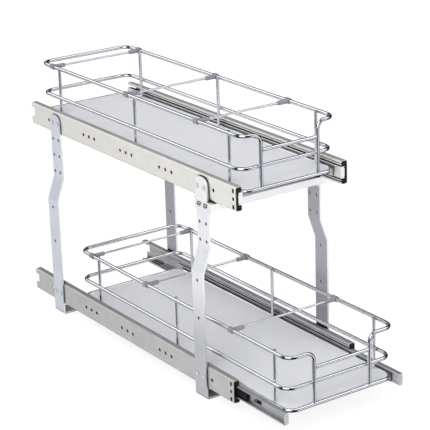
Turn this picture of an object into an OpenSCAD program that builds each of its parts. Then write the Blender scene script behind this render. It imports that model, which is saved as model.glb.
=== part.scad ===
// Two-tier pull-out cabinet basket. The front of the cabinet is towards -Y and the floor is z = 0.
// The origin is on the floor, midway between the four posts.

/* [Overall] */
// Length of the slides, front to back
slide_len = 508; // [490:1:530]
// Width over the outer faces of the upper slides
upper_width = 174; // [160:1:180]
// Width over the outer faces of the lower slides
lower_width = 197; // [190:1:220]
// Height of the lower slides' centre line above the floor
lower_slide_z = 31; // [28:1:38]
// Rise from the lower slides to the upper slides
slide_rise = 255; // [240:1:280]
// Travel of each basket
travel = 500; // [440:1:500]
// How far the lower basket stands pulled out
lower_pull = 101; // [0:1:300]

/* [Frame] */
// Width of the flat bars, front to back
bar_width = 25; // [24:1:30]
// Thickness of the flat bars
bar_thick = 2.5; // [2:0.1:3]
// Distance from the middle of the frame to each pair of posts
post_y = 184; // [170:1:188]
// Height of the post tops above the upper slides' centre line
post_top_rise = 12; // [10:0.5:14]
// Height at which the posts start to step outwards
jog_top_z = 205; // [200:1:208]
// Height at which the step outwards ends
jog_low_z = 173; // [168:1:178]
// Spacing of the two holes in a pair
hole_spacing = 14.3; // [13:0.1:15]
// Spacing of the hole pairs up a post
hole_pitch = 24; // [22:0.5:26]
// Diameter of the holes in the posts
post_hole_d = 4.4; // [4.2:0.1:5]
// Diameter of the floor screw holes
floor_hole_d = 5; // [4:0.1:6]
// Distance between the floor screw holes of one bar
floor_hole_span = 120; // [90:1:140]

/* [Slides] */
// Height of the slides
slide_height = 32; // [32:0.1:34]
// Sheet thickness of the outer and inner members
member_sheet = 1.1; // [1:0.05:1.2]
// Sheet thickness of the middle members
middle_sheet = 1.0; // [0.9:0.05:1.1]
// How much shorter the middle members are than the slides
middle_short = 51; // [51:0.5:60]
// Ball diameter
ball_d = 3; // [2.8:0.05:3.1]
// Depth of the raceways rolled into the outer and inner members
race_depth = 0.25; // [0.1:0.05:0.3]
// Balls in one row of a cage
ball_count = 8; // [6:1:10]
// Length of the plastic stops at the slide fronts
stop_len = 14; // [10:1:16]
// Diameter of the screw holes in the outer members
screw_hole_d = 4.8; // [4.2:0.1:5.2]

/* [Baskets] */
// Diameter of the rails and of the base frame
rail_d = 5; // [4.6:0.1:5.4]
// Diameter of the hoops that carry the rails
hoop_d = 4; // [3.6:0.1:4.4]
// Diameter of the floor wires
floor_wire_d = 2.5; // [2:0.1:3]
// Diameter of the tie wires
tie_d = 3; // [2.6:0.1:3.4]
// Height of the base frame above the slides' centre line
base_rise = 4; // [3:0.5:5]
// Height of the middle rail above the slides' centre line
middle_rise = 31.5; // [28:0.5:36]
// Height of the front wire above the slides' centre line
front_wire_rise = 53.5; // [48:0.5:58]
// Height of the top rail above the slides' centre line
top_rise = 74.5; // [70:0.5:80]
// Distance from the middle of a basket to each front upright
upright_x = 44; // [36:1:46]
// Radius of the basket corners
corner_r = 15; // [12:1:18]
// Radius of the bends at the tops of the front uprights
upright_bend_r = 12; // [9:1:13]

/* [Hidden] */
$fn = 48;
bend_steps = 6;
cut = 1;
core_lap = 0.4;
core_share = 0.8;

// A tier is [half the width over its slides, height of its slides, how far it is pulled out].
upper_z = lower_slide_z + slide_rise;
UPPER = [upper_width / 2, upper_z, 0];
LOWER = [lower_width / 2, lower_slide_z, lower_pull];
function half_of(tier) = tier[0];
function z_of(tier) = tier[1];
function pull_of(tier) = tier[2];
LEFT = -1;
RIGHT = 1;
half_len = slide_len / 2;

// The middle member of a slide makes half of its basket's travel. In a basket that stands pulled
// out, it lags as far as the room behind it allows.
middle_share = 0.5;
middle_end_gap = 0.5;
function middle_pull(tier) = max(0, pull_of(tier) * middle_share - middle_short + middle_end_gap);
function outer_cage_pull(tier) = middle_pull(tier) / 2;
function inner_cage_pull(tier) = (middle_pull(tier) + pull_of(tier)) / 2;

// Slide section: u runs inwards from the outer face, w up and down from the centre line.
ball_gap = 0.05;
web_gap = 0.8;
outer_race_w = slide_height / 2 - member_sheet;
outer_flat_w = outer_race_w - race_depth;
outer_ball_w = outer_race_w - ball_gap - ball_d / 2;
middle_top_w = outer_ball_w - ball_d / 2 - ball_gap;
middle_under_w = middle_top_w - middle_sheet;
inner_ball_w = middle_under_w - ball_gap - ball_d / 2;
inner_race_w = inner_ball_w - ball_d / 2 - ball_gap;
inner_top_w = inner_race_w + race_depth;
outer_ball_u = 4.6;
inner_ball_u = 6.3;
outer_lip_u = 9;
outer_lip_drop = 2.4;
middle_lip_u = 8.9;
middle_lip_drop = 1.4;
inner_flange_u = 4;
slide_thick = 10.5;
middle_web_u = member_sheet + web_gap;
member_bend_r = 1.85;
middle_bend_r = 1.4;
inner_bend_r = 1.2;
lip_bend_r = 0.75;
race_bend_r = 0.7;
race_flat = 0.3 * ball_d;
race_ramp = 0.5;
RACE_RADII = [race_bend_r, race_bend_r, race_bend_r, race_bend_r];
cage_sheet = 0.4;
cage_bend_r = 0.6;
cage_pocket_d = ball_d + 0.2;
cage_edge = 0.4;
cage_end_gap = 3.5;
cage_len = slide_len - middle_short - travel / 2 - stop_len - 2 * cage_end_gap;
outer_cage_y = (stop_len - middle_short) / 2;
inner_cage_y = stop_len / 2;
ball_pitch = cage_len / ball_count;
stop_sheet = 0.5;
stop_end_u = 8;
stop_gap = 0.3;
stop_nose = 1.2;

// Holes in the outer members, measured from their ends
front_hole_in = 47.7;
rear_hole_in = 49.2;
triple_in = 159.6;
triple_pitch = 96;
slot_in = 5.4;
slot_width = 1.8;
SLOTS = [[10, 4], [-0.4, 3], [-10.9, 4]];
notch_len = 8;
notch_low_w = -4.5;
notch_high_w = 8.7;

// Front ends of the inner members: end tab, then a window with a tongue
tab_chamfer = 3.4;
window_in = 54;
window_len = 16;
window_h = 6.4;
tongue_len = 8;
tongue_h = 2.6;
tongue_out = 1.8;

// Release levers
lever_pivot_in = 116;
lever_len = 36;
lever_thick = 3;
lever_u = 5.4;
lever_pin_d = 3;
lever_bore_d = 3.16;
lever_boss_d = 10;
lever_pad_len = 8;
lever_pad_h = 7.6;

// Mounting strips and their rivets
strip_thick = 2;
strip_half = 7;
strip_end_in = 14;
strip_window_gap = 0.5;
strip_rivet_w = -3.5;
strip_rivet_front_in = 144;
strip_rivet_rear_in = 39;
strip_rivet_pitch = (slide_len - strip_rivet_front_in - strip_rivet_rear_in) / 3;
STRIP_RIVET_Y = [for (k = [0 : 3]) strip_rivet_front_in - half_len + k * strip_rivet_pitch];
rivet_d = 4;
rivet_head_d = 4.6;
rivet_head = 0.8;

// Front crossbar
crossbar_sheet = 2;
crossbar_reach = 10.5;
crossbar_gap = 2;
crossbar_web_h = 9.5;
crossbar_tab_h = 17;
crossbar_front_y = -post_y - bar_width / 2 - crossbar_reach;
crossbar_flange_z = upper_z - slide_height / 2 - crossbar_gap;
crossbar_web_z = crossbar_flange_z - crossbar_web_h;
crossbar_tab_z = crossbar_flange_z - crossbar_tab_h;
crossbar_tab_rear = 7.5;
crossbar_return = 8;
ear_top_rise = post_top_rise + 1;
slot_clear = 0.1;
crossbar_screw_z = upper_z - hole_pitch;
crossbar_screw_d = 4;
screw_head_d = 6.4;
screw_head = 2.4;
nut_d = 7.4;
nut_height = 3;
post_top_r = 10;
foot_bend_r = 2.75;
jog_bend_r = 6;
PAIR_STEPS = [0, 1, 2, 3];
SINGLE_HOLE_Z = [163, 111];
head_thin = 0.5;
frame_rivet_d = post_hole_d;
frame_rivet_head_d = 6;

// Basket
front_in = 5.2;
rear_in = 11.5;
basket_front_y = front_in - half_len;
basket_rear_y = half_len - rear_in;
hoop_front_in = 33.4;
hoop_mid_back = 5.55;
hoop_rear_in = 42;
HOOP_Y = [
    basket_front_y + hoop_front_in,
    (basket_front_y + basket_rear_y) / 2 + hoop_mid_back,
    basket_rear_y - hoop_rear_in
];
tie_rear_back = 8;
UPPER_TIE_Y = [basket_front_y + 95.8, HOOP_Y[1] + 9.6, HOOP_Y[2] + tie_rear_back];
LOWER_TIE_Y = [basket_front_y + 116.8, HOOP_Y[1] + 64.6, HOOP_Y[2] + tie_rear_back];
hoop_bend_r = 3;
hoop_over = 1.5;
floor_pitch = 21;
floor_first_in = 19;
liner_thick = 1.2;
liner_side_gap = 2;
liner_end_in = 5;
liner_corner_r = 10;
clip_od = 8;
clip_len = 11;
sleeve_d = 6.5;
sleeve_len = 18;
sleeve_wall_end = 6;
function side_x(tier) = half_of(tier) - slide_thick - strip_thick - rail_d / 2;
function hoop_x(tier) = side_x(tier) - rail_d / 2 - hoop_d / 2;
hoop_floor_rise = base_rise + floor_wire_d / 2 - hoop_d / 2;

// ---------------------------------------------------------------- bent sheet and bent wire

function unit(v) = v / norm(v);
function left_of(v) = [-v[1], v[0]];

// Points of a rounded corner, each with the normal on its left
function bend_frames(a, b, c, r) =
    let (
        way_in = unit(b - a),
        way_out = unit(c - b),
        turn = atan2(way_in[0] * way_out[1] - way_in[1] * way_out[0], way_in * way_out),
        start = b - way_in * r * tan(abs(turn) / 2),
        centre = start + sign(turn) * r * left_of(way_in),
        first = atan2(start[1] - centre[1], start[0] - centre[0])
    )
    [for (k = [0 : bend_steps])
        let (angle = first + turn * k / bend_steps, out = [cos(angle), sin(angle)])
        [centre + r * out, -sign(turn) * out]];

// The same for a whole strip, from its first point to its last
function strip_frames(path, radii) = [
    for (i = [0 : len(path) - 1])
        if (i == 0) [path[0], left_of(unit(path[1] - path[0]))]
        else if (i == len(path) - 1) [path[i], left_of(unit(path[i] - path[i - 1]))]
        else each bend_frames(path[i - 1], path[i], path[i + 1], radii[i - 1])
];

// Section of a sheet bent along a centre line
module bent_strip(path, radii, thick) {
    frames = strip_frames(path, radii);
    polygon(concat(
        [for (f = frames) f[0] + f[1] * thick / 2],
        [for (i = [len(frames) - 1 : -1 : 0]) frames[i][0] - frames[i][1] * thick / 2]
    ));
}

// Sweeps a section drawn in X and Z from y0 to y1
module along_y(y0, y1) {
    translate([0, y1, 0]) rotate([90, 0, 0]) linear_extrude(y1 - y0) children();
}

module rod(a, b, d) {
    way = b - a;
    translate(a) rotate([0, acos(way[2] / norm(way)), atan2(way[1], way[0])]) cylinder(h = norm(way), d = d);
}

function turn_at(a, b, c) = acos(unit(b - a) * unit(c - b));
function trim_at(a, b, c, r) = r * tan(turn_at(a, b, c) / 2);

module wire_bend(a, b, c, r, d) {
    way_in = unit(b - a);
    axis = unit(cross(way_in, unit(c - b)));
    out = cross(way_in, axis);
    centre = b - way_in * trim_at(a, b, c, r) - out * r;
    multmatrix([
        [out[0], way_in[0], axis[0], centre[0]],
        [out[1], way_in[1], axis[1], centre[1]],
        [out[2], way_in[2], axis[2], centre[2]],
        [0, 0, 0, 1]
    ]) rotate_extrude(angle = turn_at(a, b, c)) translate([r, 0]) circle(d = d);
}

// Round wire through the points of path, with a bend radius for each point. A thin core inside
// each straight piece reaches a little way into the bends and joins them.
module wire(path, radii, d, closed = false) {
    count = len(path);
    last = closed ? count - 1 : count - 2;
    for (i = [0 : last]) {
        here = path[i];
        next = path[(i + 1) % count];
        before = path[(i + count - 1) % count];
        after = path[(i + 2) % count];
        way = unit(next - here);
        start_bent = closed || i > 0;
        end_bent = closed || i < last;
        start_trim = start_bent ? trim_at(before, here, next, radii[i]) : 0;
        end_trim = end_bent ? trim_at(here, next, after, radii[(i + 1) % count]) : 0;
        rod(here + way * start_trim, next - way * end_trim, d);
        start_core = start_trim + (start_bent ? -core_lap : core_lap);
        end_core = end_trim + (end_bent ? -core_lap : core_lap);
        rod(here + way * start_core, next - way * end_core, core_share * d);
        if (start_bent) wire_bend(before, here, next, radii[i], d);
    }
}

// ---------------------------------------------------------------- frame

// Moves children drawn against a left slide's outer face to either side of a tier
module on_slide(tier, side, out = 0) {
    translate([0, -out, z_of(tier)])
        if (side == RIGHT) mirror([1, 0, 0]) translate([-half_of(tier), 0, 0]) children();
        else translate([-half_of(tier), 0, 0]) children();
}

// Cylinder along X, from u0 to u1
module pin_u(u0, u1, y, w, d) {
    translate([u0, y, w]) rotate([0, 90, 0]) cylinder(h = u1 - u0, d = d);
}

// What is cut off a square end to round its two corners
module corner_cuts(y, z, width, r) {
    for (s = [-1, 1])
        difference() {
            translate([-half_of(LOWER) * 2, y + (s > 0 ? width / 2 - r : -width / 2 - cut), z - r])
                cube([half_of(LOWER) * 4, r + cut, r + cut]);
            translate([-half_of(LOWER) * 3, y + s * (width / 2 - r), z - r])
                rotate([0, 90, 0]) cylinder(h = half_of(LOWER) * 6, r = r);
        }
}

// One flat bar bent into both posts and the strip between them on the floor
module frame_bar(y) {
    high_x = half_of(UPPER) + bar_thick / 2;
    low_x = half_of(LOWER) + bar_thick / 2;
    top_z = upper_z + post_top_rise;
    path = [
        [-high_x, top_z], [-high_x, jog_top_z], [-low_x, jog_low_z], [-low_x, bar_thick / 2],
        [low_x, bar_thick / 2], [low_x, jog_low_z], [high_x, jog_top_z], [high_x, top_z]
    ];
    radii = [jog_bend_r, jog_bend_r, foot_bend_r, foot_bend_r, jog_bend_r, jog_bend_r];
    wide = 2 * low_x + bar_thick + cut;
    difference() {
        along_y(y - bar_width / 2, y + bar_width / 2) bent_strip(path, radii, bar_thick);
        corner_cuts(y, top_z, bar_width, post_top_r);
        for (step = PAIR_STEPS, s = [-0.5, 0.5])
            pin_u(-wide / 2, wide / 2, y + s * hole_spacing, upper_z - step * hole_pitch, post_hole_d);
        for (s = [-0.5, 0.5])
            pin_u(-wide / 2, wide / 2, y + s * hole_spacing, lower_slide_z, post_hole_d);
        for (z = SINGLE_HOLE_Z) pin_u(-wide / 2, wide / 2, y, z, post_hole_d);
        for (s = [-0.5, 0.5])
            translate([s * floor_hole_span, y, -cut]) cylinder(h = bar_thick + 2 * cut, d = floor_hole_d);
    }
}

module front_frame_bar() {
    color("lightsteelblue") frame_bar(-post_y);
}

module rear_frame_bar() {
    color("lightsteelblue") frame_bar(post_y);
}

// Sheet bar under the front of the upper slides, with an ear outside and a tab inside each post
module crossbar_end() {
    post_in = half_of(UPPER);
    post_out = post_in + bar_thick;
    end_x = post_out + crossbar_sheet;
    ear_y = -post_y - bar_width / 2;
    translate([post_out, ear_y, crossbar_flange_z - crossbar_sheet])
        cube([crossbar_sheet, bar_width, upper_z + ear_top_rise - crossbar_flange_z + crossbar_sheet]);
    translate([post_in - crossbar_sheet, ear_y, crossbar_tab_z])
        cube([crossbar_sheet, bar_width + crossbar_tab_rear, crossbar_flange_z - crossbar_tab_z]);
    translate([end_x - crossbar_sheet, crossbar_front_y, crossbar_web_z])
        cube([crossbar_sheet, crossbar_return, crossbar_flange_z - crossbar_web_z]);
}

module upper_front_crossbar() {
    post_in = half_of(UPPER);
    end_x = post_in + bar_thick + crossbar_sheet;
    rear_y = -post_y + bar_width / 2;
    color("whitesmoke") difference() {
        union() {
            translate([-end_x, crossbar_front_y, crossbar_flange_z - crossbar_sheet])
                cube([2 * end_x, rear_y - crossbar_front_y, crossbar_sheet]);
            translate([-end_x, crossbar_front_y, crossbar_web_z])
                cube([2 * end_x, crossbar_sheet, crossbar_flange_z - crossbar_web_z]);
            crossbar_end();
            mirror([1, 0, 0]) crossbar_end();
        }
        for (s = [-1, 1])
            translate([s * (post_in + bar_thick / 2) - bar_thick / 2 - slot_clear,
                -post_y - bar_width / 2 - slot_clear, crossbar_flange_z - 2 * crossbar_sheet])
                cube([bar_thick + 2 * slot_clear, bar_width + crossbar_tab_rear, 3 * crossbar_sheet]);
        corner_cuts(-post_y, upper_z + ear_top_rise, bar_width, post_top_r);
        for (s = [-0.5, 0.5], z = [crossbar_screw_z, upper_z])
            pin_u(-end_x - cut, end_x + cut, -post_y + s * hole_spacing, z, post_hole_d);
    }
}

module crossbar_screws() {
    head_x = -half_of(UPPER) - bar_thick;
    color("gray") for (side = [0, 1], s = [-0.5, 0.5]) mirror([side, 0, 0]) {
        pin_u(head_x - screw_head, head_x, -post_y + s * hole_spacing, crossbar_screw_z, screw_head_d);
        pin_u(head_x - cut / 2, head_x + bar_thick + crossbar_sheet + nut_height + cut,
            -post_y + s * hole_spacing, crossbar_screw_z, crossbar_screw_d);
    }
}

module crossbar_nuts() {
    tab_x = -half_of(UPPER) + crossbar_sheet;
    color("silver") for (side = [0, 1], s = [-0.5, 0.5])
        mirror([side, 0, 0]) translate([tab_x, -post_y + s * hole_spacing, crossbar_screw_z])
            rotate([0, 90, 0]) difference() {
                cylinder(h = nut_height, d = nut_d, $fn = 6);
                translate([0, 0, -cut]) cylinder(h = nut_height + 2 * cut, d = crossbar_screw_d);
            }
}

// Flush rivets that hold the outer members to the posts, and the ears to the front ones
module frame_rivets() {
    places = [for (y = [-post_y, post_y], s = [-0.5, 0.5]) y + s * hole_spacing];
    color("lightgray") for (tier = [UPPER, LOWER], side = [LEFT, RIGHT], y = places) {
        eared = tier == UPPER && y < 0;
        face = -bar_thick - (eared ? crossbar_sheet : 0);
        on_slide(tier, side) {
            pin_u(face - head_thin, face, y, 0, frame_rivet_head_d);
            pin_u(face - head_thin / 2, member_sheet, y, 0, frame_rivet_d);
        }
    }
}

// ---------------------------------------------------------------- slides

// Corners of a raceway rolled into a flange that runs along u, one way or the other
function raceway(u, w, depth, way) = [
    [u - way * (race_flat + race_ramp), w], [u - way * race_flat, w + depth],
    [u + way * race_flat, w + depth], [u + way * (race_flat + race_ramp), w]
];

module outer_member(tier, side) {
    web_u = member_sheet / 2;
    flat_w = outer_flat_w + member_sheet / 2;
    lip_w = flat_w - outer_lip_drop;
    path = concat(
        [[outer_lip_u, lip_w], [outer_lip_u, flat_w]],
        raceway(outer_ball_u, flat_w, race_depth, -1),
        [[web_u, flat_w], [web_u, -flat_w]],
        raceway(outer_ball_u, -flat_w, -race_depth, 1),
        [[outer_lip_u, -flat_w], [outer_lip_u, -lip_w]]
    );
    radii = concat(lip_bend_r, RACE_RADII, member_bend_r, member_bend_r, RACE_RADII, lip_bend_r);
    color("gainsboro") on_slide(tier, side) difference() {
        along_y(-half_len, half_len) bent_strip(path, radii, member_sheet);
        pin_u(-cut, web_gap + member_sheet, front_hole_in - half_len, 0, screw_hole_d);
        pin_u(-cut, web_gap + member_sheet, half_len - rear_hole_in, 0, screw_hole_d);
        for (k = [0 : 2], s = [-1, 0, 1])
            pin_u(-cut, web_gap + member_sheet, half_len - triple_in - k * triple_pitch + s * hole_spacing,
                0, screw_hole_d);
        for (slot = SLOTS)
            translate([-cut, slot_in - half_len - slot_width / 2, slot[0] - slot[1] / 2])
                cube([cut + 2 * member_sheet, slot_width, slot[1]]);
        for (y = [-post_y, post_y], s = [-0.5, 0.5])
            pin_u(-cut, web_gap + member_sheet, y + s * hole_spacing, 0, post_hole_d);
        translate([-cut, half_len - notch_len, notch_low_w])
            cube([cut + web_gap + member_sheet, notch_len + cut, notch_high_w - notch_low_w]);
    }
}

// The middle member runs between the other two and is shorter than they are at its rear end
module middle_member(tier, side) {
    web_u = middle_web_u + middle_sheet / 2;
    flat_w = middle_top_w - middle_sheet / 2;
    lip_w = flat_w - middle_lip_drop;
    path = [
        [middle_lip_u, lip_w], [middle_lip_u, flat_w], [web_u, flat_w],
        [web_u, -flat_w], [middle_lip_u, -flat_w], [middle_lip_u, -lip_w]
    ];
    color("silver") on_slide(tier, side, middle_pull(tier))
        along_y(-half_len, half_len - middle_short)
            bent_strip(path, [lip_bend_r, middle_bend_r, middle_bend_r, lip_bend_r], middle_sheet);
}

// Plate bent over the front end of an inner member, with its free corners cut off
module end_tab() {
    free_w = inner_top_w - tab_chamfer;
    along_y(-half_len, member_sheet - half_len) polygon([
        [slide_thick - member_sheet, inner_top_w], [slide_thick - member_sheet, -inner_top_w],
        [inner_flange_u + tab_chamfer / 2, -inner_top_w], [inner_flange_u, -free_w],
        [inner_flange_u, free_w], [inner_flange_u + tab_chamfer / 2, inner_top_w]
    ]);
}

module inner_member(tier, side) {
    web_u = slide_thick - member_sheet / 2;
    flat_w = inner_top_w - member_sheet / 2;
    path = concat(
        [[inner_flange_u, flat_w]],
        raceway(inner_ball_u, flat_w, -race_depth, 1),
        [[web_u, flat_w], [web_u, -flat_w]],
        raceway(inner_ball_u, -flat_w, race_depth, -1),
        [[inner_flange_u, -flat_w]]
    );
    radii = concat(RACE_RADII, inner_bend_r, inner_bend_r, RACE_RADII);
    pin_end_u = lever_u - 1;
    window_rear_y = window_in + window_len - half_len;
    tongue_path = [
        [web_u, window_rear_y + cut], [web_u, window_rear_y - cut],
        [web_u - tongue_out, window_rear_y - tongue_len]
    ];
    color("silver") on_slide(tier, side, pull_of(tier)) {
        difference() {
            along_y(-half_len, half_len) bent_strip(path, radii, member_sheet);
            for (y = STRIP_RIVET_Y) pin_u(pin_end_u, slide_thick + cut, y, strip_rivet_w, rivet_d);
            translate([slide_thick - member_sheet - cut, window_in - half_len, -window_h / 2])
                cube([member_sheet + 2 * cut, window_len, window_h]);
        }
        end_tab();
        linear_extrude(tongue_h) bent_strip(tongue_path, [race_bend_r], member_sheet);
        pin_u(pin_end_u, slide_thick - member_sheet / 2, lever_pivot_in - half_len, 0, lever_pin_d);
    }
}

// Black plastic stop inside the front of a channel: a thin liner with a block in each raceway
module channel_stop(back_u, side_w, bend_r, block_u, block_w, nose) {
    mid_u = back_u + stop_sheet / 2;
    mid_w = side_w - stop_sheet / 2;
    path = [[stop_end_u, mid_w], [mid_u, mid_w], [mid_u, -mid_w], [stop_end_u, -mid_w]];
    along_y(-half_len - nose, stop_len - half_len) {
        bent_strip(path, [bend_r, bend_r], stop_sheet);
        for (s = [0, 1])
            mirror([0, s]) translate([block_u, block_w])
                square([stop_end_u - block_u, side_w - stop_sheet / 2 - block_w]);
    }
}

module mouth_stops() {
    bend_r = member_bend_r - member_sheet / 2 - stop_sheet / 2;
    color("black") for (tier = [UPPER, LOWER], side = [LEFT, RIGHT]) on_slide(tier, side)
        channel_stop(member_sheet, outer_flat_w, bend_r,
            middle_web_u + middle_sheet, middle_top_w + stop_gap, stop_nose);
}

module middle_stops(tier) {
    bend_r = middle_bend_r - middle_sheet / 2 - stop_sheet / 2;
    color("black") for (side = [LEFT, RIGHT]) on_slide(tier, side, middle_pull(tier))
        channel_stop(middle_web_u + middle_sheet, middle_under_w, bend_r,
            inner_flange_u + stop_gap, inner_top_w + stop_gap, 0);
}

// Channel of thin sheet that keeps two rows of balls apart
module ball_cage(web_u, ball_u, ball_w) {
    end_u = ball_u + cage_pocket_d / 2 + cage_edge;
    path = [[end_u, ball_w], [web_u, ball_w], [web_u, -ball_w], [end_u, -ball_w]];
    difference() {
        along_y(-cage_len / 2, cage_len / 2) bent_strip(path, [cage_bend_r, cage_bend_r], cage_sheet);
        for (i = [0 : ball_count - 1])
            translate([ball_u, (i - (ball_count - 1) / 2) * ball_pitch, -ball_w - cut])
                cylinder(h = 2 * ball_w + 2 * cut, d = cage_pocket_d);
    }
}

module ball_rows(ball_u, ball_w) {
    for (i = [0 : ball_count - 1], s = [-1, 1])
        translate([ball_u, (i - (ball_count - 1) / 2) * ball_pitch, s * ball_w]) sphere(d = ball_d);
}

module outer_cage(tier, side) {
    color("goldenrod") on_slide(tier, side, outer_cage_pull(tier)) translate([0, outer_cage_y, 0])
        ball_cage(member_sheet + web_gap / 2, outer_ball_u, outer_ball_w);
}

module inner_cage(tier, side) {
    color("goldenrod") on_slide(tier, side, inner_cage_pull(tier)) translate([0, inner_cage_y, 0])
        ball_cage(middle_web_u + middle_sheet + web_gap / 2, inner_ball_u, inner_ball_w);
}

module outer_balls(tier) {
    color("lightgray") for (side = [LEFT, RIGHT])
        on_slide(tier, side, outer_cage_pull(tier)) translate([0, outer_cage_y, 0])
            ball_rows(outer_ball_u, outer_ball_w);
}

module inner_balls(tier) {
    color("lightgray") for (side = [LEFT, RIGHT])
        on_slide(tier, side, inner_cage_pull(tier)) translate([0, inner_cage_y, 0])
            ball_rows(inner_ball_u, inner_ball_w);
}

// Flat lever inside the inner member, tapering from its pin at the rear to a finger pad in front
module release_lever(tier, side) {
    pivot_y = lever_pivot_in - half_len;
    color("black") on_slide(tier, side, pull_of(tier)) difference() {
        hull() {
            pin_u(lever_u, lever_u + lever_thick, pivot_y, 0, lever_boss_d);
            translate([lever_u, pivot_y - lever_len, -lever_pad_h / 2])
                cube([lever_thick, lever_pad_len, lever_pad_h]);
        }
        pin_u(lever_u - cut, lever_u + lever_thick + cut, pivot_y, 0, lever_bore_d);
    }
}

// ---------------------------------------------------------------- baskets

// Moves children drawn about a closed basket's centre line to its tier
module on_basket(tier) {
    translate([0, -pull_of(tier), z_of(tier)]) children();
}

module mounting_strips(tier) {
    window_half = window_h / 2 + strip_window_gap;
    color("silver") for (side = [LEFT, RIGHT]) on_slide(tier, side, pull_of(tier)) difference() {
        translate([slide_thick, strip_end_in - half_len, -strip_half])
            cube([strip_thick, slide_len - 2 * strip_end_in, 2 * strip_half]);
        for (y = STRIP_RIVET_Y)
            pin_u(slide_thick - cut, slide_thick + strip_thick + cut, y, strip_rivet_w, rivet_d);
        translate([slide_thick - cut, window_in - half_len - strip_window_gap, -window_half])
            cube([strip_thick + 2 * cut, window_len + 2 * strip_window_gap, 2 * window_half]);
    }
}

module strip_rivets(tier) {
    face_u = slide_thick - member_sheet;
    back_u = slide_thick + strip_thick;
    color("lightgray") for (side = [LEFT, RIGHT], y = STRIP_RIVET_Y) on_slide(tier, side, pull_of(tier)) {
        pin_u(face_u - rivet_head, face_u, y, strip_rivet_w, rivet_head_d);
        pin_u(face_u - rivet_head / 2, back_u + rivet_head / 2, y, strip_rivet_w, rivet_d);
        pin_u(back_u, back_u + rivet_head, y, strip_rivet_w, rivet_head_d);
    }
}

// Closed rectangular loop of wire with rounded corners
module wire_loop(x, front_y, rear_y, z, d) {
    path = [[-x, front_y, z], [x, front_y, z], [x, rear_y, z], [-x, rear_y, z]];
    wire(path, [corner_r, corner_r, corner_r, corner_r], d, closed = true);
}

module base_frame(tier) {
    color("silver") on_basket(tier) wire_loop(side_x(tier), basket_front_y, basket_rear_y, base_rise, rail_d);
}

module middle_rail(tier) {
    color("silver") on_basket(tier)
        wire_loop(side_x(tier), basket_front_y + rail_d, basket_rear_y, middle_rise, rail_d);
}

// The top rail is open at the front, where its ends turn down as the front uprights
module top_rail(tier) {
    x = side_x(tier);
    foot_z = base_rise + rail_d / 2;
    path = [
        [-upright_x, basket_front_y, foot_z], [-upright_x, basket_front_y, top_rise],
        [-x, basket_front_y, top_rise], [-x, basket_rear_y, top_rise],
        [x, basket_rear_y, top_rise], [x, basket_front_y, top_rise],
        [upright_x, basket_front_y, top_rise], [upright_x, basket_front_y, foot_z]
    ];
    room = x - upright_x - corner_r;
    bend_r = min(upright_bend_r, room);
    color("silver") on_basket(tier)
        wire(path, [0, bend_r, corner_r, corner_r, corner_r, corner_r, bend_r, 0], rail_d);
}

module front_wire(tier) {
    end_x = upright_x - rail_d / 2;
    color("silver") on_basket(tier)
        rod([-end_x, basket_front_y, front_wire_rise], [end_x, basket_front_y, front_wire_rise], rail_d);
}

module hoops(tier) {
    x = hoop_x(tier);
    top_z = top_rise + hoop_over;
    color("silver") on_basket(tier) for (y = HOOP_Y)
        wire([[-x, y, top_z], [-x, y, hoop_floor_rise], [x, y, hoop_floor_rise], [x, y, top_z]],
            [0, hoop_bend_r, hoop_bend_r, 0], hoop_d);
}

function near_hoop(y) = min([for (h = HOOP_Y) abs(y - h)]) < hoop_d + floor_wire_d / 2;

module floor_wires(tier) {
    x = side_x(tier) - rail_d / 2;
    first_y = basket_front_y + floor_first_in;
    last_y = basket_rear_y - floor_first_in;
    color("silver") on_basket(tier) for (y = [first_y : floor_pitch : last_y])
        if (!near_hoop(y)) rod([-x, y, base_rise], [x, y, base_rise], floor_wire_d);
}

// Sheet with rounded corners that lies on the floor wires
module liner(tier) {
    x = hoop_x(tier) - hoop_d / 2 - liner_side_gap;
    y0 = basket_front_y + liner_end_in;
    y1 = basket_rear_y - liner_end_in;
    r = liner_corner_r;
    color("lavender") on_basket(tier) translate([0, 0, base_rise + floor_wire_d / 2])
        linear_extrude(liner_thick) {
            translate([-x + r, y0]) square([2 * (x - r), y1 - y0]);
            translate([-x, y0 + r]) square([2 * x, y1 - y0 - 2 * r]);
            for (cx = [-x + r, x - r], cy = [y0 + r, y1 - r]) translate([cx, cy]) circle(r = r);
        }
}

module cross_ties(tier, places) {
    x = side_x(tier) - sleeve_wall_end;
    color("silver") on_basket(tier) for (y = places) rod([-x, y, top_rise], [x, y, top_rise], tie_d);
}

// Plastic clip round the top rail, with a sleeve for the end of a tie wire
module tie_clip(x) {
    difference() {
        union() {
            rod([x, -clip_len / 2, 0], [x, clip_len / 2, 0], clip_od);
            rod([x - sleeve_len, 0, 0], [x, 0, 0], sleeve_d);
        }
        rod([x, -clip_len, 0], [x, clip_len, 0], rail_d);
        rod([x - sleeve_len - cut, 0, 0], [x - sleeve_wall_end, 0, 0], tie_d);
    }
}

module tie_clips(tier, places) {
    color("slategray") on_basket(tier) for (y = places, s = [0, 1])
        translate([0, y, top_rise]) mirror([s, 0, 0]) tie_clip(side_x(tier));
}

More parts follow.
